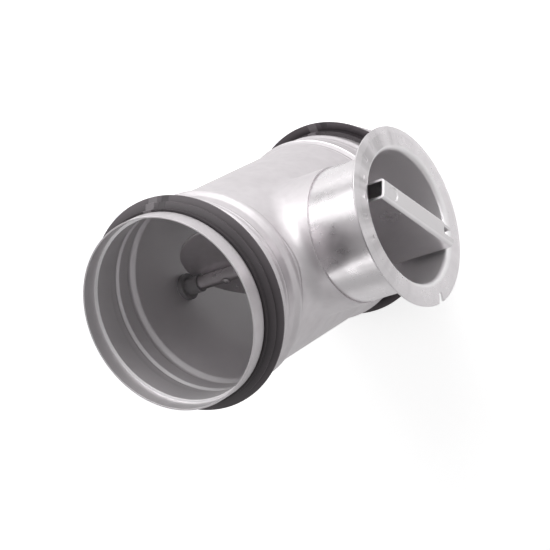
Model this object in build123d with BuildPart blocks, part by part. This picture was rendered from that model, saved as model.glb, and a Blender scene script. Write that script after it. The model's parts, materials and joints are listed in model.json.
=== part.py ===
from build123d import *
import math
import os

os.makedirs("parts", exist_ok=True)

# Round volume control damper for a 100 mm round duct, in millimetres.
# It stands on its lower spigot: Z runs up the duct axis, and the shaft and its cup point along +X.

# Duct casing
duct_size = 100.0          # inside diameter of the duct that slides over each spigot
spigot_play = 0.8          # how much smaller across a spigot is than the duct
casing_sheet = 0.8
lower_reach = 109.5        # from the shaft's axis down to the lower end
upper_reach = 87.5         # and up to the upper end

# Rolled forms near each end, measured from that end
land_length = 9.0          # plain land before the gasket seat
seat_step = 0.5            # length of the steep step down into the seat
seat_floor = 11.0          # length of the seat's flat floor
seat_slope = 4.5           # length of the gentle slope out of the seat
seat_depth = 1.4
catch_bead_place = 29.1
catch_bead_width = 4.0
catch_bead_height = 1.1    # to the bead's corner, before it is rounded
catch_bead_bend = 0.9
stop_bead_place = 42.6
stop_bead_width = 7.6
stop_bead_height = 2.5
stop_bead_bend = 2.6

# Drawn neck that holds the cup
neck_rise = 10.4           # from the tube's outside to the neck's rim
neck_fillet = 9.0
neck_play = 0.05

# Gasket lips, measured from the gasket's outer end
gasket_skin = 1.1          # rubber standing above the seat's edges
front_lip_place = 3.0
front_lip_rise = 2.6
rear_lip_place = 5.6
rear_lip_rise = 4.9
lip_root = 2.6
lip_tip = 0.9
lip_lean = 0.55            # how far a lip leans towards the middle, for each mm of rise
seat_play = 0.1

# Cup
cup_radius = 35.3          # outside of the wall
cup_sheet = 0.9
floor_rise = 2.8           # from the tube's outside to the floor's upper face
flange_rise = 37.0         # from the neck's rim to the flange's face
flange_radius = 46.5
flange_bend = 3.0
floor_bend = 4.0
flange_lip_width = 3.7     # outer strip of the flange that is turned back
flange_lip_drop = 1.1
slit_depth = 5.0
slit_mouth = 5.0
slit_root = 2.6
tick_count = 9
tick_first = 60.0          # angle of the first tick from the duct axis
tick_step = 15.0
tick_start = 39.3
tick_length = 4.2
tick_hollow = 3.0          # radius of a tick's hollow, across the tick
tick_depth = 0.4

# Shaft and bushes
shaft_radius = 4.0
shaft_play = 0.05
shaft_chamfer = 0.4
bush_wall = 1.5
drive_flange_radius = 9.0
drive_flange_thickness = 2.2
idle_flange_radius = 7.2
idle_flange_thickness = 2.8
idle_collar_radius = 5.0
idle_collar_length = 10.8  # how far the collar reaches in from the bore
bush_play = 0.05
barb_rise = 0.55
barb_length = 1.8
bush_cap = 1.2
seal_section = 0.8         # radius of the seal's round section
seal_squeeze_gap = 0.02
clip_radius = 7.0
clip_thickness = 0.6
clip_gap = 0.15
clip_teeth = 6

# Friction spring and washer under the handle
spring_radius = 9.0
spring_sheet = 0.6
spring_rise = 3.2
washer_radius = 8.0
washer_thickness = 1.0
washer_play = 0.2

# Handle, a folded channel on a hub
handle_end_gap = 3.9       # from the handle's end to the cup's wall
handle_width = 11.0
handle_rise = 5.6          # from the flange's face to the outer face of the web
handle_sheet = 1.4
handle_bend = 2.2
handle_foot_gap = 0.8      # height of the side plates above the hub's underside
handle_foot_radius = 4.0
dimple_place = 22.4
dimple_radius = 3.9
dimple_depth = 0.6
dimple_slope = 45.0        # angle of the dimple's side
pointer_length = 8.5
pointer_width = 3.7
pointer_corner = 1.8
hub_half_length = 12.0
hub_height = 10.0
hub_play = 0.05
tenon_radius = 3.0
tenon_spare = 0.6          # how far the tenon stops short of the hub's top
pin_radius = 1.5
pin_bore = 0.8
pin_slot = 0.4
pin_play = 0.02
hub_rivet_place = 8.0
hub_rivet_radius = 1.5
hub_rivet_head_radius = 2.8
hub_rivet_head_height = 1.2

# Blade and its rivets
rest_opening = 50.0        # degrees from the shut position to the position as modelled
blade_gap = 8.3            # from the blade's edge to the bore
blade_sheet = 1.2
blade_seat = 2.5           # from the shaft's axis to the flat that the blade lies on
blade_seat_play = 0.2      # how much longer the flat is at each end than the blade's middle
blade_notch_width = 9.4
blade_notch_depth = 6.3
blade_rivet_inset = 19.9   # from the blade's edge to a rivet
blade_rivet_radius = 1.6
blade_rivet_head_radius = 2.6
blade_rivet_head_height = 1.1

# Values that follow from the sizes above
casing_length = lower_reach + upper_reach
shaft_height = lower_reach
casing_radius = (duct_size - spigot_play) / 2
bore_radius = casing_radius - casing_sheet
neck_height = casing_radius + neck_rise
cup_floor = casing_radius + floor_rise
flange_face = neck_height + flange_rise
handle_face = flange_face + handle_rise
cup_bore = cup_radius - cup_sheet
handle_half_length = cup_bore - handle_end_gap
neck_bore = cup_radius + neck_play
shaft_axis = Axis((0, 0, shaft_height), (1, 0, 0))
bush_radius = shaft_radius + shaft_play + bush_wall
seat_radius = casing_radius - seat_depth
seat_start = land_length + seat_step
seat_end = seat_start + seat_floor
floor_underside = cup_floor - cup_sheet
hub_base = cup_floor + spring_rise + washer_thickness
hub_top = hub_base + hub_height
hub_middle = (hub_base + hub_top) / 2
blade_radius = bore_radius - blade_gap
blade_notch_end = blade_radius - blade_notch_depth
blade_rivet_place = blade_radius - blade_rivet_inset
opening = math.radians(rest_opening)
across_blade = Vector(0, -math.sin(opening), math.cos(opening))
along_blade = Vector(0, math.cos(opening), math.sin(opening))
middle_plane = Plane.XY.offset(casing_length / 2)
same_way = 0.99                    # cosine above which an edge counts as parallel


def shaft_plane(x):
    """Plane across the shaft at x: its x runs along the blade and its y across it."""
    return Plane(origin=(x, 0, shaft_height), x_dir=along_blade, z_dir=(1, 0, 0))


def blade_plane(offset):
    """Plane along the blade, that far from the shaft's axis on the side away from the blade."""
    start = Vector(0, 0, shaft_height) + across_blade * offset
    return Plane(origin=start, x_dir=(1, 0, 0), z_dir=across_blade)


def round_plane(x):
    """Plane across the shaft at x, square to the duct: its x runs along Y and its y along Z."""
    return Plane(origin=(x, 0, shaft_height), x_dir=(0, 1, 0), z_dir=(1, 0, 0))


shaft_section = Plane(origin=(0, 0, shaft_height), x_dir=(1, 0, 0), z_dir=(0, -1, 0))
handle_section = Plane(origin=(0, 0, shaft_height), x_dir=across_blade, z_dir=along_blade)


# Casing: a rolled tube with gasket seats and beads, and a drawn neck for the cup
def half_wall(radius):
    """Draws the lower half of the casing's wall line at this radius, from the end to the middle."""
    catch_bead = bead_corners(radius, catch_bead_place, catch_bead_width, catch_bead_height)
    stop_bead = bead_corners(radius, stop_bead_place, stop_bead_width, stop_bead_height)
    Polyline(
        (radius, 0),
        (radius, land_length),
        (radius - seat_depth, seat_start),
        (radius - seat_depth, seat_end),
        (radius, seat_end + seat_slope),
    )
    FilletPolyline(
        (radius, seat_end + seat_slope),
        *catch_bead,
        *stop_bead,
        (radius, casing_length / 2),
        radius=[catch_bead_bend] * len(catch_bead) + [stop_bead_bend] * len(stop_bead),
    )
    Polyline((radius, casing_length / 2), (0, casing_length / 2), (0, 0), (radius, 0))


def bead_corners(radius, place, width, height):
    """The three corners of one rolled bead of the wall line."""
    return ((radius, place - width / 2), (radius + height, place), (radius, place + width / 2))


def tube_with_neck(wall_radius, neck_radius, fillet_radius):
    """Tube and neck as one solid form, with a rounded foot where the neck meets the tube."""
    with BuildPart() as form:
        with BuildSketch(Plane.XZ):
            with BuildLine():
                half_wall(wall_radius)
            make_face()
        revolve(axis=Axis.Z)
        mirror(about=middle_plane)
    reach = neck_radius + fillet_radius + casing_sheet
    with BuildPart() as foot:
        with BuildSketch(Plane.XY.offset(shaft_height - reach)):
            Circle(wall_radius)
        extrude(amount=2 * reach)
        with BuildSketch(round_plane(0)):
            Circle(neck_radius)
        extrude(amount=neck_height)
        curved = foot.edges().filter_by(GeomType.LINE, reverse=True)
        junction = curved.filter_by(GeomType.CIRCLE, reverse=True)
        fillet(junction, fillet_radius)
    return form.part + foot.part


outer_form = tube_with_neck(casing_radius, neck_bore + casing_sheet, neck_fillet)
airway_form = tube_with_neck(bore_radius, neck_bore, neck_fillet + casing_sheet)

with BuildPart() as casing:
    add(outer_form)
    add(airway_form, mode=Mode.SUBTRACT)
    with BuildSketch(round_plane(-casing_radius - stop_bead_height)):
        Circle(bush_radius + bush_play)
    extrude(amount=casing_radius, mode=Mode.SUBTRACT)
casing.part.label = "casing"
export_step(casing.part, "parts/casing.step")


# Gaskets: double-lip rubber rings in the seats, the upper one turned the other way
gasket_start = seat_start + seat_play
gasket_end = seat_end - seat_play
gasket_radius = casing_radius + gasket_skin

with BuildPart() as lower_gasket:
    with BuildSketch(Plane.XZ):
        with BuildLine():
            Polyline(
                (seat_radius, gasket_start),
                (gasket_radius, gasket_start),
                (gasket_radius, gasket_end),
                (seat_radius, gasket_end),
                close=True,
            )
        make_face()
        for place, rise in ((front_lip_place, front_lip_rise), (rear_lip_place, rear_lip_rise)):
            root = gasket_start + place
            tip = root + lip_lean * rise
            with BuildLine():
                Polyline(
                    (casing_radius, root - lip_root / 2),
                    (gasket_radius + rise, tip - lip_tip / 2),
                    (gasket_radius + rise, tip + lip_tip / 2),
                    (casing_radius, root + lip_root / 2),
                    close=True,
                )
            make_face()
    revolve(axis=Axis.Z)
lower_gasket.part.label = "lower_gasket"
export_step(lower_gasket.part, "parts/lower_gasket.step")

with BuildPart() as upper_gasket:
    mirror(lower_gasket.part, about=middle_plane)
upper_gasket.part.label = "upper_gasket"
export_step(upper_gasket.part, "parts/upper_gasket.step")

# Cup: one deep-drawn pressing with a flat floor and a wide flange
with BuildPart() as cup:
    with BuildSketch(shaft_section):
        with BuildLine():
            FilletPolyline(
                (cup_floor, bush_radius + bush_play),
                (cup_floor, cup_bore),
                (flange_face, cup_bore),
                (flange_face, flange_radius - flange_lip_width),
                (flange_face - flange_lip_drop, flange_radius),
                radius=[floor_bend, flange_bend, flange_bend],
            )
            offset(amount=cup_sheet, side=Side.LEFT)
        make_face()
    revolve(axis=shaft_axis)
    with BuildSketch(round_plane(flange_face - flange_lip_drop - 2 * cup_sheet)):
        with BuildLine():
            Polyline(
                (slit_depth - flange_radius, -slit_root / 2),
                (-flange_radius - cup_sheet, -slit_mouth / 2),
                (-flange_radius - cup_sheet, slit_mouth / 2),
                (slit_depth - flange_radius, slit_root / 2),
                close=True,
            )
        make_face()
    extrude(amount=flange_lip_drop + 3 * cup_sheet, mode=Mode.SUBTRACT)
    for step in range(tick_count):
        angle = math.radians(tick_first + tick_step * step)
        outward = Vector(0, math.sin(angle), -math.cos(angle))
        start = Vector(flange_face + tick_hollow - tick_depth, 0, shaft_height) + outward * tick_start
        with BuildSketch(Plane(origin=start, z_dir=outward)):
            Circle(tick_hollow)
        extrude(amount=tick_length, mode=Mode.SUBTRACT)
cup.part.label = "cup"
export_step(cup.part, "parts/cup.step")

# Drive bush: flange under the cup's floor, body through it, barb above it, groove for the seal
seal_place = floor_underside - drive_flange_thickness / 2
seal_radius = shaft_radius + seal_section + seal_squeeze_gap
drive_bush_end = cup_floor + barb_length

with BuildPart() as drive_bush:
    with BuildSketch(shaft_section):
        with BuildLine():
            Polyline(
                (floor_underside - drive_flange_thickness, shaft_radius + shaft_play),
                (floor_underside - drive_flange_thickness, drive_flange_radius),
                (floor_underside, drive_flange_radius),
                (floor_underside, bush_radius),
                (cup_floor + bush_play, bush_radius),
                (cup_floor + bush_play, bush_radius + barb_rise),
                (drive_bush_end, bush_radius - barb_rise),
                (drive_bush_end, shaft_radius + shaft_play),
                close=True,
            )
        make_face()
        with Locations((seal_place, shaft_radius)):
            Rectangle(2 * seal_section, 4 * seal_section, mode=Mode.SUBTRACT)
    revolve(axis=shaft_axis)
drive_bush.part.label = "drive_bush"
export_step(drive_bush.part, "parts/drive_bush.step")

# Shaft seal: an O-ring in the drive bush's groove
with BuildPart() as shaft_seal:
    with BuildSketch(shaft_section):
        with Locations((seal_place, seal_radius)):
            Circle(seal_section - seal_squeeze_gap)
    revolve(axis=shaft_axis)
shaft_seal.part.label = "shaft_seal"
export_step(shaft_seal.part, "parts/shaft_seal.step")

# Idle bush: blind bush in the far wall, its flange cut to the bore's curve
idle_barb_start = casing_radius + 2 * bush_play
idle_bush_end = idle_barb_start + barb_length

with BuildPart() as idle_flange:
    with BuildSketch(round_plane(-casing_radius)):
        Circle(idle_flange_radius)
    extrude(amount=casing_sheet + idle_flange_thickness)
    with BuildSketch(Plane.XY.offset(shaft_height - 2 * idle_flange_radius)):
        Circle(bore_radius)
    extrude(amount=4 * idle_flange_radius, mode=Mode.INTERSECT)
    with BuildSketch(round_plane(-casing_radius)):
        Circle(shaft_radius + shaft_play)
    extrude(amount=casing_radius, mode=Mode.SUBTRACT)

with BuildPart() as idle_bush:
    with BuildSketch(shaft_section):
        with BuildLine():
            Polyline(
                (idle_collar_length - bore_radius, shaft_radius + shaft_play),
                (idle_collar_length - bore_radius, idle_collar_radius),
                (idle_flange_thickness - bore_radius, idle_collar_radius),
                (idle_flange_thickness - bore_radius, bush_radius),
                (-idle_barb_start, bush_radius),
                (-idle_barb_start, bush_radius + barb_rise),
                (-idle_bush_end, bush_radius - barb_rise),
                (-idle_bush_end, 0),
                (bush_cap - idle_bush_end, 0),
                (bush_cap - idle_bush_end, shaft_radius + shaft_play),
                close=True,
            )
        make_face()
    revolve(axis=shaft_axis)
    add(idle_flange.part)
idle_bush.part.label = "idle_bush"
export_step(idle_bush.part, "parts/idle_bush.step")

# Shaft: one bar through both bushes, with a flat for the blade and a tenon for the handle's hub
shaft_start = bush_cap - idle_bush_end + clip_gap
tenon_end = hub_top - tenon_spare

with BuildPart() as shaft:
    with BuildSketch(round_plane(shaft_start)):
        Circle(shaft_radius)
    extrude(amount=hub_base - shaft_start)
    chamfer(shaft.faces().sort_by(Axis.X)[0].edges(), shaft_chamfer)
    with BuildSketch(round_plane(hub_base)):
        Circle(tenon_radius)
    extrude(amount=tenon_end - hub_base)
    with BuildSketch(Plane(origin=(hub_middle, 0, shaft_height), z_dir=across_blade)):
        Circle(pin_radius + pin_play)
    extrude(amount=handle_width, both=True, mode=Mode.SUBTRACT)
    with BuildSketch(blade_plane(-blade_seat)):
        Rectangle(2 * (blade_notch_end + blade_seat_play), 2 * shaft_radius)
    extrude(amount=-shaft_radius, mode=Mode.SUBTRACT)
    with BuildSketch(blade_plane(0)):
        with Locations((blade_rivet_place, 0), (-blade_rivet_place, 0)):
            Circle(blade_rivet_radius + pin_play)
    extrude(amount=shaft_radius, both=True, mode=Mode.SUBTRACT)
shaft.part.label = "shaft"
export_step(shaft.part, "parts/shaft.step")

# Shaft clip: push-on star washer that keeps the shaft from being drawn out through the cup
clip_start = floor_underside - drive_flange_thickness - clip_gap - clip_thickness

with BuildPart() as shaft_clip:
    with BuildSketch(round_plane(clip_start)):
        Circle(clip_radius)
        Circle(shaft_radius, mode=Mode.SUBTRACT)
        with PolarLocations(shaft_radius + clip_thickness, clip_teeth):
            Rectangle(2 * clip_thickness + shaft_radius / 2, clip_thickness, mode=Mode.SUBTRACT)
    extrude(amount=clip_thickness)
shaft_clip.part.label = "shaft_clip"
export_step(shaft_clip.part, "parts/shaft_clip.step")

# Friction spring: a dished washer between the cup's floor and the thrust washer
spring_bore = shaft_radius + washer_play

with BuildPart() as friction_spring:
    with BuildSketch(shaft_section):
        with BuildLine():
            Polyline(
                (cup_floor, spring_radius),
                (cup_floor + spring_rise - spring_sheet, spring_bore),
                (cup_floor + spring_rise, spring_bore),
                (cup_floor + spring_sheet, spring_radius),
                close=True,
            )
        make_face()
    revolve(axis=shaft_axis)
friction_spring.part.label = "friction_spring"
export_step(friction_spring.part, "parts/friction_spring.step")

with BuildPart() as thrust_washer:
    with BuildSketch(round_plane(cup_floor + spring_rise)):
        Circle(washer_radius)
        Circle(shaft_radius + washer_play, mode=Mode.SUBTRACT)
    extrude(amount=washer_thickness)
thrust_washer.part.label = "thrust_washer"
export_step(thrust_washer.part, "parts/thrust_washer.step")

# Handle: a channel folded from one sheet, with a dimple at one end and a pointer at the other
channel_inside = handle_width - 2 * handle_sheet
handle_foot = hub_base + handle_foot_gap


def cross_hole_plane(place):
    """Plane at the hub's middle height that looks across the handle, that far along it."""
    start = Vector(hub_middle, 0, shaft_height) + along_blade * place
    return Plane(origin=start, z_dir=across_blade)


with BuildPart() as handle:
    with BuildSketch(handle_section):
        with BuildLine():
            FilletPolyline(
                (handle_width / 2, handle_foot),
                (handle_width / 2, handle_face),
                (-handle_width / 2, handle_face),
                (-handle_width / 2, handle_foot),
                radius=handle_bend,
            )
            offset(amount=handle_sheet, side=Side.LEFT)
        make_face()
    extrude(amount=handle_half_length, both=True)
    feet = handle.edges().filter_by(lambda edge: abs(edge.tangent_at(0.5).dot(across_blade)) > same_way)
    fillet(feet.group_by(Axis.X)[0], handle_foot_radius)
    with BuildSketch(shaft_plane(handle_face)):
        with Locations((dimple_place, 0)):
            Circle(dimple_radius)
    extrude(amount=-dimple_depth - handle_sheet)
    with BuildSketch(shaft_plane(handle_face)):
        with Locations((dimple_place, 0)):
            Circle(dimple_radius)
    extrude(amount=-dimple_depth, taper=dimple_slope, mode=Mode.SUBTRACT)
    with BuildSketch(shaft_plane(handle_face)):
        with Locations((pointer_length - handle_half_length, handle_width / 2 - pointer_width)):
            RectangleRounded(2 * pointer_length, handle_width, pointer_corner, align=(Align.MAX, Align.MAX))
    extrude(amount=-handle_bend, mode=Mode.SUBTRACT)
    with BuildSketch(cross_hole_plane(0)):
        Circle(pin_radius + pin_play)
    extrude(amount=handle_width, both=True, mode=Mode.SUBTRACT)
    for side in (-1, 1):
        with BuildSketch(cross_hole_plane(side * hub_rivet_place)):
            Circle(hub_rivet_radius + pin_play)
        extrude(amount=handle_width, both=True, mode=Mode.SUBTRACT)
handle.part.label = "handle"
export_step(handle.part, "parts/handle.step")

# Handle hub: the block inside the channel that carries it on the shaft's tenon
with BuildPart() as handle_hub:
    with BuildSketch(shaft_plane(hub_base)):
        Rectangle(2 * hub_half_length, channel_inside - 2 * hub_play)
        Circle(tenon_radius + bush_play, mode=Mode.SUBTRACT)
    extrude(amount=hub_height)
    with BuildSketch(cross_hole_plane(0)):
        Circle(pin_radius + pin_play)
    extrude(amount=handle_width, both=True, mode=Mode.SUBTRACT)
    for side in (-1, 1):
        with BuildSketch(cross_hole_plane(side * hub_rivet_place)):
            Circle(hub_rivet_radius + pin_play)
        extrude(amount=handle_width, both=True, mode=Mode.SUBTRACT)
handle_hub.part.label = "handle_hub"
export_step(handle_hub.part, "parts/handle_hub.step")

# Hub pin: a rolled spring pin through the side plates, the hub and the tenon
with BuildPart() as hub_pin:
    with BuildSketch(cross_hole_plane(0)):
        Circle(pin_radius)
        Circle(pin_bore, mode=Mode.SUBTRACT)
        with Locations((pin_radius, 0)):
            Rectangle(2 * pin_radius, pin_slot, mode=Mode.SUBTRACT)
    extrude(amount=handle_width / 2, both=True)
hub_pin.part.label = "hub_pin"
export_step(hub_pin.part, "parts/hub_pin.step")


# Rivets: round shanks with a domed head at each end
def rivet(grip, radius, head_radius, head_height):
    """One rivet of this grip, standing on the origin with its first head below it."""
    dome_radius = (head_radius**2 + head_height**2) / (2 * head_height)
    with BuildPart() as one:
        with BuildSketch(Plane.XZ):
            with BuildLine():
                Line((0, -head_height), (0, grip + head_height))
                RadiusArc((0, grip + head_height), (head_radius, grip), dome_radius)
                Polyline((head_radius, grip), (radius, grip), (radius, 0), (head_radius, 0))
                RadiusArc((head_radius, 0), (0, -head_height), dome_radius)
            make_face()
        revolve(axis=Axis.Z)
    return one.part


hub_rivet = rivet(handle_width, hub_rivet_radius, hub_rivet_head_radius, hub_rivet_head_height)

with BuildPart() as hub_rivets:
    for side in (-1, 1):
        foot = Vector(hub_middle, 0, shaft_height) + along_blade * (side * hub_rivet_place)
        foot = foot - across_blade * (handle_width / 2)
        with Locations(Plane(origin=foot, z_dir=across_blade)):
            add(hub_rivet)
hub_rivets.part.label = "hub_rivets"
export_step(hub_rivets.part, "parts/hub_rivets.step")

# Blade: a flat disc on the shaft's flat, notched at both ends to pass the round bar and the bushes
with BuildPart() as blade:
    with BuildSketch(blade_plane(-blade_seat)):
        Circle(blade_radius)
        for side in (-1, 1):
            with Locations((side * (blade_notch_end + blade_radius), 0)):
                Rectangle(2 * blade_radius, blade_notch_width, mode=Mode.SUBTRACT)
        with Locations((blade_rivet_place, 0), (-blade_rivet_place, 0)):
            Circle(blade_rivet_radius + pin_play, mode=Mode.SUBTRACT)
    extrude(amount=-blade_sheet)
blade.part.label = "blade"
export_step(blade.part, "parts/blade.step")

# Blade rivets: through the shaft and the blade, with one head on the bar's crest
blade_grip = blade_sheet + blade_seat + shaft_radius
blade_rivet = rivet(blade_grip, blade_rivet_radius, blade_rivet_head_radius, blade_rivet_head_height)

with BuildPart() as blade_rivets:
    with Locations(blade_plane(-blade_seat - blade_sheet)):
        with Locations((blade_rivet_place, 0), (-blade_rivet_place, 0)):
            add(blade_rivet)
blade_rivets.part.label = "blade_rivets"
export_step(blade_rivets.part, "parts/blade_rivets.step")
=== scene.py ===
import bpy
import json
import math
from mathutils import Euler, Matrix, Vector

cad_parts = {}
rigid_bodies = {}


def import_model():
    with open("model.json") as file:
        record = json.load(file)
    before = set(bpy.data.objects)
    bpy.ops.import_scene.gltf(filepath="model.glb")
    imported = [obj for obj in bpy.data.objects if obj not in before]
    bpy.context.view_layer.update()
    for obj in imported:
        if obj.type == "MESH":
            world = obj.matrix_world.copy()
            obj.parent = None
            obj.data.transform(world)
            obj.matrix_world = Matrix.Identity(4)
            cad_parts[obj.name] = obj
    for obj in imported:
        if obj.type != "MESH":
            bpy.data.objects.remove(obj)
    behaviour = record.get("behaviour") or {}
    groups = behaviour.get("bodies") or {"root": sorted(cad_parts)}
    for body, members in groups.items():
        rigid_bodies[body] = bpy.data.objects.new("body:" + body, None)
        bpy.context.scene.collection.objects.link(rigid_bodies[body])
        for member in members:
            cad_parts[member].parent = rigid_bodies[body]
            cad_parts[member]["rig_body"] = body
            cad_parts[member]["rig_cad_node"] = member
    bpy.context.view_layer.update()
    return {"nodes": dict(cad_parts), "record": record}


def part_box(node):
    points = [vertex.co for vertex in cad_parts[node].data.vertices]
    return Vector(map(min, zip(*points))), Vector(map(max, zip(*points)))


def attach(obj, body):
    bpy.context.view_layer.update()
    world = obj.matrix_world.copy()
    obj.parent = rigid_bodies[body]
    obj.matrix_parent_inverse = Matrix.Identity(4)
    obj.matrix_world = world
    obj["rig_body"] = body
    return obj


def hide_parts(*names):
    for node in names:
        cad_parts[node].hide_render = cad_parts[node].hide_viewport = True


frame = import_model()
nodes = frame["nodes"]
bodyOfNode = {}
for body, members in frame["record"]["behaviour"]["bodies"].items():
    for member in members:
        bodyOfNode[member] = body
print("frame loaded:", len(nodes), "nodes")

# places taken from the frame
casingLow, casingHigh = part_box("casing")
shaftLow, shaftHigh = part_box("shaft")
cupLow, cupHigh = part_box("cup")
tubeMiddle = (casingLow.z + casingHigh.z) / 2
shaftHeight = (shaftLow.z + shaftHigh.z) / 2
cupMiddle = (cupLow + cupHigh) / 2


def deselectAll():
    bpy.ops.object.select_all(action="DESELECT")


def makeMaterial(name):
    material = bpy.data.materials.new(name)
    material.use_nodes = True
    return material, material.node_tree, material.node_tree.nodes["Principled BSDF"]


# each input takes either another node's output or a plain value
def fillInputs(tree, node, inputs):
    for place, value in inputs.items():
        if isinstance(value, bpy.types.NodeSocket):
            tree.links.new(value, node.inputs[place])
        else:
            node.inputs[place].default_value = value
    return node


# one sum on up to three numbers
def addMath(tree, operation, *values):
    step = tree.nodes.new("ShaderNodeMath")
    step.operation = operation
    return fillInputs(tree, step, dict(enumerate(values))).outputs["Value"]


# one sum on up to three vectors, which gives a vector or a plain number
def addVectorMath(tree, operation, result, *values):
    step = tree.nodes.new("ShaderNodeVectorMath")
    step.operation = operation
    return fillInputs(tree, step, dict(enumerate(values))).outputs[result]


def addSplit(tree, vector):
    parts = tree.nodes.new("ShaderNodeSeparateXYZ")
    return fillInputs(tree, parts, {"Vector": vector}).outputs


# a point moved and stretched along the three axes
def addMapping(tree, vector, scale, location=(0.0, 0.0, 0.0)):
    place = tree.nodes.new("ShaderNodeMapping")
    inputs = {"Vector": vector, "Location": location, "Scale": scale}
    return fillInputs(tree, place, inputs).outputs["Vector"]


def addNoise(tree, source, scale, detail=3.0, roughness=0.5):
    noise = tree.nodes.new("ShaderNodeTexNoise")
    inputs = {"Vector": source, "Scale": scale, "Detail": detail, "Roughness": roughness}
    return fillInputs(tree, noise, inputs).outputs


# a value carried from one span of numbers to another, and kept inside the new one
def addRange(tree, value, low, high, fromLow=0.3, fromHigh=0.7):
    spread = tree.nodes.new("ShaderNodeMapRange")
    inputs = {"Value": value, "From Min": fromLow, "From Max": fromHigh, "To Min": low, "To Max": high}
    return fillInputs(tree, spread, inputs).outputs["Result"]


# a tone between a look's dark and light colours
def addTone(tree, value, look):
    ramp = tree.nodes.new("ShaderNodeValToRGB")
    dark, light = ramp.color_ramp.elements
    dark.position, light.position = look["toneSpan"]
    dark.color = (*look["dark"], 1.0)
    light.color = (*look["light"], 1.0)
    return fillInputs(tree, ramp, {"Fac": value}).outputs["Color"]


def addBump(tree, height, strength, depth, under=None):
    bump = tree.nodes.new("ShaderNodeBump")
    inputs = {"Height": height, "Strength": strength, "Distance": depth}
    if under is not None:
        inputs["Normal"] = under
    return fillInputs(tree, bump, inputs).outputs["Normal"]


def mixValues(tree, factor, under, over):
    mix = tree.nodes.new("ShaderNodeMix")
    return fillInputs(tree, mix, {"Factor": factor, "A": under, "B": over}).outputs["Result"]


# numbers of the mix node's colour sockets, which share their names with its other sockets
colourSockets = {"under": 6, "over": 7, "result": 2}


def mixColours(tree, factor, under, over):
    mix = tree.nodes.new("ShaderNodeMix")
    mix.data_type = "RGBA"
    inputs = {"Factor": factor, colourSockets["under"]: under, colourSockets["over"]: (*over, 1.0)}
    return fillInputs(tree, mix, inputs).outputs[colourSockets["result"]]


# how near a value is to one place: 1 up to the core's edge, and 0 beyond the half width
def addRidge(tree, value, place, core, halfWidth):
    offset = addMath(tree, "SUBTRACT", value, place)
    away = addMath(tree, "ABSOLUTE", offset)
    return addRange(tree, away, 1.0, 0.0, core, halfWidth)


# share of a strip's width that has no soft edge
stripCore = 0.8


# a narrow strip along the duct at one angle round it: 1 in the strip and 0 beside it
def addStrip(tree, coords, angle, halfWidth):
    parts = addSplit(tree, coords)
    turn = addMath(tree, "ARCTAN2", parts["Y"], parts["X"])
    edge = math.radians(halfWidth)
    return addRidge(tree, turn, math.radians(angle), edge * stripCore, edge)


# fine ridges that the bead rollers leave round the duct, at the same places from both of its ends
def addRollerLines(tree, coords, look):
    fromMiddle = addMath(tree, "SUBTRACT", addSplit(tree, coords)["Z"], tubeMiddle)
    reach = addMath(tree, "ABSOLUTE", fromMiddle)
    first, *others = [tubeMiddle - place for place in look["rollerLines"]]
    height = addRidge(tree, reach, first, 0.0, look["lineHalfWidth"])
    for place in others:
        ridge = addRidge(tree, reach, place, 0.0, look["lineHalfWidth"])
        height = addMath(tree, "ADD", ridge, height)
    return height


# a point's distance from a round wall's own axis, as a vector
def addAcross(tree, coords, look):
    return addMapping(tree, coords, look["across"], (0.0, 0.0, -look["axisHeight"] * look["across"][2]))


# from a wall's inner to its outer side: distance from its axis in metres, times how far it faces outward
innerSpan = (-0.008, -0.002)
# the share of the inside below which a surface counts as outside
outsideLimit = 0.5
# from a sheet's bends to its flat front: how far it faces along X
frontSpan = (0.90, 0.985)


# the inside of a round wall: 1 where the surface faces the wall's own axis, 0 where it faces away
def addInside(tree, texture, look):
    across = addAcross(tree, texture["Object"], look)
    facing = addVectorMath(tree, "DOT_PRODUCT", "Value", across, texture["Normal"])
    return addRange(tree, facing, 1.0, 0.0, *innerSpan)


# how far a surface faces along X: 1 on a flat front and 0 once it bends away
def addFront(tree, texture):
    return addRange(tree, addSplit(tree, texture["Normal"])["X"], 0.0, 1.0, *frontSpan)


# streaks of painted shade that run out from a round wall's axis, strongest towards one side of it
def addPaintedShadeStreaks(tree, coords, look):
    outward = addVectorMath(tree, "NORMALIZE", "Vector", addAcross(tree, coords, look))
    streaks = addNoise(tree, outward, look["streakScale"], detail=2.0)["Fac"]
    side = addVectorMath(tree, "DOT_PRODUCT", "Value", outward, look["streakSide"])
    weight = addRange(tree, side, look["streakLeast"], 1.0, *look["streakReach"])
    shade = addRange(tree, streaks, look["streakFaint"], 1.0, *look["streakSpan"])
    return addMath(tree, "MULTIPLY", shade, weight)


# cloudy spangle of the zinc coat, as one soft pattern
def addSpangle(tree, coords, look):
    warp = addNoise(tree, coords, look["spangleScale"] * look["warpRatio"])["Color"]
    warpReach = (look["spangleWarp"],) * 3
    bent = addVectorMath(tree, "MULTIPLY_ADD", "Vector", warp, warpReach, coords)
    cells = tree.nodes.new("ShaderNodeTexVoronoi")
    cells.feature = "SMOOTH_F1"
    fillInputs(tree, cells, {
        "Vector": bent, "Scale": look["spangleScale"], "Smoothness": look["spangleSoftness"]
    })
    clouds = addNoise(tree, coords, look["cloudScale"], detail=4.0, roughness=0.6)["Fac"]
    mix = tree.nodes.new("ShaderNodeMix")
    inputs = {"Factor": look["spangleShare"], "A": clouds, "B": cells.outputs["Distance"]}
    return fillInputs(tree, mix, inputs).outputs["Result"]
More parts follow.
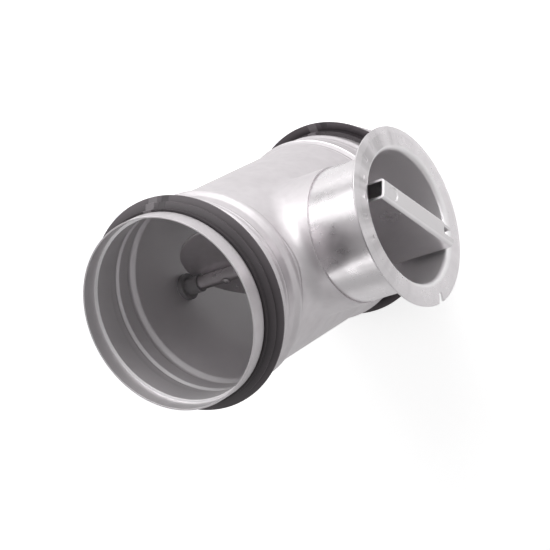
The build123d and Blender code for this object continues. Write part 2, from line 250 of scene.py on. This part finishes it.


# zinc-coated sheet with forming waves and rounded edges. A look can add rougher inner walls in a lighter
# tone that is painted light, fronts darkened by painted shade with painted shade streaks or without,
# roller lines on the outside, and a weld
def zincSheet(name, look):
    material, tree, shader = makeMaterial(name)
    texture = tree.nodes.new("ShaderNodeTexCoord").outputs
    coords = texture["Object"]
    spangle = addSpangle(tree, coords, look)
    tone = addTone(tree, spangle, look)
    rough = addRange(tree, spangle, look["roughHigh"], look["roughLow"])
    rounded = tree.nodes.new("ShaderNodeBevel")
    rounded.samples = look["edgeSamples"]
    rounded.inputs["Radius"].default_value = look["edgeRound"]
    waves = addNoise(tree, coords, look["waveScale"], detail=1.0)["Fac"]
    normal = addBump(tree, waves, look["waveStrength"], look["waveDepth"], rounded.outputs["Normal"])
    grit = addNoise(tree, coords, look["gritScale"], detail=2.0)["Fac"]
    normal = addBump(tree, grit, look["gritStrength"], look["gritDepth"], normal)
    # inner walls take a lighter tone: painted light that brightens the shaded inside
    if "paintedInnerLight" in look:
        inside = addInside(tree, texture, look)
        tone = mixColours(tree, inside, tone, look["paintedInnerLight"])
        rough = mixValues(tree, inside, rough, look["innerRough"])
        if "rollerLines" in look:
            outside = addMath(tree, "LESS_THAN", inside, outsideLimit)
            lines = addMath(tree, "MULTIPLY", addRollerLines(tree, coords, look), outside)
            normal = addBump(tree, lines, look["lineStrength"], look["lineDepth"], normal)
    # fronts that face along X are darkened with painted shade, so the bends read as lit edges; on the cup
    # this shade comes in streaks
    if "paintedFrontShade" in look:
        front = addFront(tree, texture)
        if "streakScale" in look:
            front = addMath(tree, "MULTIPLY", front, addPaintedShadeStreaks(tree, coords, look))
        tone = mixColours(tree, front, tone, look["paintedFrontShade"])
    if "weldAngle" in look:
        weld = addStrip(tree, coords, look["weldAngle"], look["weldHalfWidth"])
        normal = addBump(tree, weld, look["weldStrength"], look["weldDepth"], normal)
    fillInputs(tree, shader, {
        "Base Color": tone, "Metallic": look["metallic"], "Roughness": rough, "Normal": normal
    })
    return material


# how deep a point lies between a ring's lips: 1 at the root's radius and 0 at the lips' edges
def addRoot(tree, coords, look):
    flat = addMapping(tree, coords, (1.0, 1.0, 0.0))
    reach = addVectorMath(tree, "LENGTH", "Value", flat)
    return addRange(tree, reach, 1.0, 0.0, look["rootRadius"], look["lipRadius"])


# moulded rubber or plastic: bloom over its tone and fine grain. A look can add a root between lips
# darkened with painted shade, and joint marks where a ring is closed
def mouldedRubber(name, look):
    material, tree, shader = makeMaterial(name)
    coords = tree.nodes.new("ShaderNodeTexCoord").outputs["Object"]
    bloom = addNoise(tree, coords, look["bloomScale"], detail=4.0)["Fac"]
    tone = addTone(tree, bloom, look)
    rough = addRange(tree, bloom, look["roughLow"], look["roughHigh"])
    grain = addNoise(tree, coords, look["grainScale"], detail=2.0)["Fac"]
    normal = addBump(tree, grain, look["grainStrength"], look["grainDepth"])
    # the root between the lips is darkened with painted shade
    if "paintedRootShade" in look:
        tone = mixColours(tree, addRoot(tree, coords, look), tone, look["paintedRootShade"])
    for mark in look.get("jointMarks", ()):
        joint = addStrip(tree, coords, mark["angle"], mark["halfWidth"])
        tone = mixColours(tree, joint, tone, mark["tone"])
        normal = addBump(tree, joint, look["jointStrength"], look["jointDepth"], normal)
    fillInputs(tree, shader, {"Base Color": tone, "Roughness": rough, "Normal": normal})
    return material


meshLook = {"smoothAngle": 30.0, "joinDistance": 0.00001}


# a softly shaded copy of a CAD node, which then stands for it
def smoothCopy(nodeName, material):
    source = nodes[nodeName]
    copy = source.copy()
    copy.data = source.data.copy()
    copy.name = nodeName + "_surface"
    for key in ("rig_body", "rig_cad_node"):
        if key in copy:
            del copy[key]
    copy.parent = None
    bpy.context.scene.collection.objects.link(copy)
    deselectAll()
    copy.select_set(True)
    bpy.context.view_layer.objects.active = copy
    bpy.ops.object.mode_set(mode="EDIT")
    bpy.ops.mesh.select_all(action="SELECT")
    bpy.ops.mesh.customdata_custom_splitnormals_clear()
    bpy.ops.mesh.remove_doubles(threshold=meshLook["joinDistance"])
    bpy.ops.object.mode_set(mode="OBJECT")
    bpy.ops.object.shade_smooth_by_angle(angle=math.radians(meshLook["smoothAngle"]))
    copy.data.materials.clear()
    copy.data.materials.append(material)
    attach(copy, bodyOfNode[nodeName])
    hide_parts(nodeName)
    return copy


# lengths are in metres, and angles in degrees round the duct
tubeSheet = {
    "dark": (0.77, 0.74, 0.757), "light": (0.85, 0.82, 0.838), "toneSpan": (0.28, 0.72), "metallic": 1.0,
    "spangleScale": 210.0, "spangleWarp": 0.004, "spangleShare": 0.25, "spangleSoftness": 0.8,
    "warpRatio": 1.5, "cloudScale": 45.0, "roughLow": 0.34, "roughHigh": 0.43,
    "waveScale": 24.0, "waveStrength": 0.16, "waveDepth": 0.001,
    "gritScale": 500.0, "gritStrength": 0.04, "gritDepth": 0.0002,
    "edgeRound": 0.0005, "edgeSamples": 6
}
cupSheet = dict(
    tubeSheet, roughLow=0.23, roughHigh=0.34, waveScale=60.0, waveStrength=0.3,
    # the cup's inner walls are painted lighter, as painted light in its shaded inside
    across=(0.0, 1.0, 1.0), axisHeight=shaftHeight, paintedInnerLight=(0.90, 0.882, 0.893), innerRough=0.48,
    # the flange front is darkened by painted shade streaks, strongest towards one side
    paintedFrontShade=(0.50, 0.48, 0.49), streakScale=5.0, streakFaint=0.35, streakSpan=(0.38, 0.62),
    streakSide=(0.0, 0.6, 0.8), streakLeast=0.15, streakReach=(-0.2, 0.9)
)
casingSheet = dict(
    tubeSheet, dark=(0.65, 0.62, 0.637), light=(0.73, 0.70, 0.717), roughLow=0.45, roughHigh=0.53,
    # the duct's inner walls are painted lighter, as painted light in its shaded inside
    across=(1.0, 1.0, 0.0), axisHeight=0.0, paintedInnerLight=(0.77, 0.752, 0.763), innerRough=0.55,
    rollerLines=(0.0333, 0.0435, 0.0468), lineHalfWidth=0.0007, lineStrength=0.8, lineDepth=0.0004,
    weldAngle=65.9, weldHalfWidth=0.6, weldStrength=0.25, weldDepth=0.0002
)
bladeSheet = dict(tubeSheet, roughLow=0.26, roughHigh=0.36)
handleSheet = dict(
    # the handle's pale tone shows as painted highlight on its bends and sides, and its front is darkened
    # with painted shade
    tubeSheet, dark=(0.86, 0.835, 0.85), light=(0.93, 0.905, 0.92), roughLow=0.26, roughHigh=0.34,
    spangleShare=0.15, waveStrength=0.08, paintedFrontShade=(0.71, 0.69, 0.70)
)
barSteel = dict(
    tubeSheet, dark=(0.40, 0.38, 0.39), light=(0.50, 0.475, 0.488), roughLow=0.24, roughHigh=0.32
)
ringRubber = {
    "dark": (0.084, 0.072, 0.079), "light": (0.118, 0.103, 0.112), "toneSpan": (0.3, 0.75),
    "bloomScale": 60.0, "roughLow": 0.42, "roughHigh": 0.55,
    "grainScale": 900.0, "grainStrength": 0.1, "grainDepth": 0.0002
}
gasketRubber = dict(
    # the root between the lips takes painted shade
    ringRubber, paintedRootShade=(0.044, 0.037, 0.041), rootRadius=0.0505, lipRadius=0.0545,
    jointStrength=0.5, jointDepth=0.0004,
    jointMarks=(
        {"angle": 76.5, "halfWidth": 2.4, "tone": (0.050, 0.043, 0.047)},
        {"angle": 84.5, "halfWidth": 3.2, "tone": (0.16, 0.145, 0.154)}
    )
)
bushPlastic = dict(
    ringRubber, dark=(0.21, 0.20, 0.208), light=(0.26, 0.25, 0.258), roughLow=0.26, roughHigh=0.36
)

materials = {
    "casing_steel": zincSheet("casingSheet", casingSheet),
    "cup_steel": zincSheet("cupSheet", cupSheet),
    "handle_steel": zincSheet("handleSheet", handleSheet),
    "blade_steel": zincSheet("bladeSheet", bladeSheet),
    "shaft_steel": zincSheet("shaftBar", barSteel),
    "fastener_steel": zincSheet("fastenerSteel", barSteel),
    "gasket_rubber": mouldedRubber("gasketRubber", gasketRubber),
    "seal_rubber": mouldedRubber("sealRubber", ringRubber),
    "bush_plastic": mouldedRubber("bushNylon", bushPlastic)
}
for row in frame["record"]["subparts"]:
    piece = smoothCopy(row["node"], materials[row["material_slot"]])
print("surfaces dressed:", len(nodes))


# a share of full white for one kind of ray, on top of what came before it
def addShare(tree, kind, share, before=0.0):
    return addMath(tree, "MULTIPLY_ADD", kind, share, before)


# floor: pale and matt, white to the camera where no shadow lies
floorLook = {"size": 9.0, "colour": (0.86, 0.86, 0.86), "cameraShare": 0.64, "mirrorShare": 0.26}


def makeFloor(look):
    deselectAll()
    bpy.ops.mesh.primitive_plane_add(size=look["size"], location=(0, 0, 0))
    floor = bpy.context.object
    floor.name = "floor"
    material, tree, shader = makeMaterial("floorPaint")
    tree.nodes.remove(shader)
    matt = tree.nodes.new("ShaderNodeBsdfDiffuse")
    matt.inputs["Color"].default_value = (*look["colour"], 1.0)
    rays = tree.nodes.new("ShaderNodeLightPath").outputs
    seen = addShare(tree, rays["Is Camera Ray"], look["cameraShare"])
    seen = addShare(tree, rays["Is Glossy Ray"], look["mirrorShare"], seen)
    glow = tree.nodes.new("ShaderNodeEmission")
    fillInputs(tree, glow, {"Strength": seen})
    both = tree.nodes.new("ShaderNodeAddShader")
    fillInputs(tree, both, {0: matt.outputs["BSDF"], 1: glow.outputs["Emission"]})
    fillInputs(tree, tree.nodes["Material Output"], {"Surface": both.outputs["Shader"]})
    floor.data.materials.append(material)


makeFloor(floorLook)

# room: an even soft light, and plain white where the camera looks past the floor
roomLook = {"colour": (1.0, 1.0, 1.0), "light": 0.27, "cameraShare": 0.73, "mirrorShare": 0.19}


def makeRoom(look):
    world = bpy.data.worlds.new("studio")
    bpy.context.scene.world = world
    world.use_nodes = True
    tree = world.node_tree
    rays = tree.nodes.new("ShaderNodeLightPath").outputs
    seen = addShare(tree, rays["Is Camera Ray"], look["cameraShare"])
    seen = addShare(tree, rays["Is Transmission Ray"], look["cameraShare"], seen)
    seen = addShare(tree, rays["Is Glossy Ray"], look["mirrorShare"], seen)
    strength = addMath(tree, "ADD", seen, look["light"])
    fillInputs(tree, tree.nodes["Background"], {"Color": (*look["colour"], 1.0), "Strength": strength})


makeRoom(roomLook)

# lamps: one aims at the damper and one at the floor beside it, the others stand round the cup
damperMiddle = Vector((0.02, 0.0, tubeMiddle))
lampReach = 1.2
lamps = {
    "keyLight": {
        "place": (0.45, 1.00, 0.85), "aim": damperMiddle, "width": 1.0, "height": 0.8, "power": 4.8
    },
    "backLight": {"from": (-0.56, 0.69, 0.46), "width": 0.9, "height": 0.72, "power": 1.9},
    "stripLight": {"from": (-0.56, -0.60, 0.56), "width": 0.9, "height": 0.16, "power": 0.9},
    "sideLight": {"from": (0.95, 0.10, 0.28), "width": 1.6, "height": 0.60, "power": 1.5},
    "edgeLight": {"from": (0.58, 0.80, 0.00), "width": 0.7, "height": 0.16, "power": 0.9},
    "lowLight": {
        "place": (0.0, 0.70, 0.40), "aim": (-0.08, 0.18, 0.0), "width": 0.6, "height": 0.3, "power": 2.5
    }
}


def makeLamp(name, look):
    lamp = bpy.data.lights.new(name, "AREA")
    lamp.shape = "RECTANGLE"
    lamp.size, lamp.size_y, lamp.energy = look["width"], look["height"], look["power"]
    if "from" in look:
        place, aim = cupMiddle + lampReach * Vector(look["from"]), cupMiddle
    else:
        place, aim = Vector(look["place"]), Vector(look["aim"])
    holder = bpy.data.objects.new(name, lamp)
    bpy.context.scene.collection.objects.link(holder)
    holder.location = place
    holder.rotation_euler = (aim - place).to_track_quat("-Z", "Y").to_euler()


for name, look in lamps.items():
    makeLamp(name, look)
print("stage and lights ready")

# camera: above the open end, turned so that the cup points right
cameraLook = {
    "place": (0.5986, 0.0973, 0.9722), "turn": (-19.042, 29.703, -24.739), "lens": 131.9, "sensor": 36.0
}
cameraData = bpy.data.cameras.new("photoCamera")
cameraData.lens, cameraData.sensor_width = cameraLook["lens"], cameraLook["sensor"]
camera = bpy.data.objects.new("photoCamera", cameraData)
bpy.context.scene.collection.objects.link(camera)
camera.location = cameraLook["place"]
camera.rotation_euler = Euler([math.radians(angle) for angle in cameraLook["turn"]])
bpy.context.scene.camera = camera
bpy.context.scene.view_settings.view_transform = "Standard"
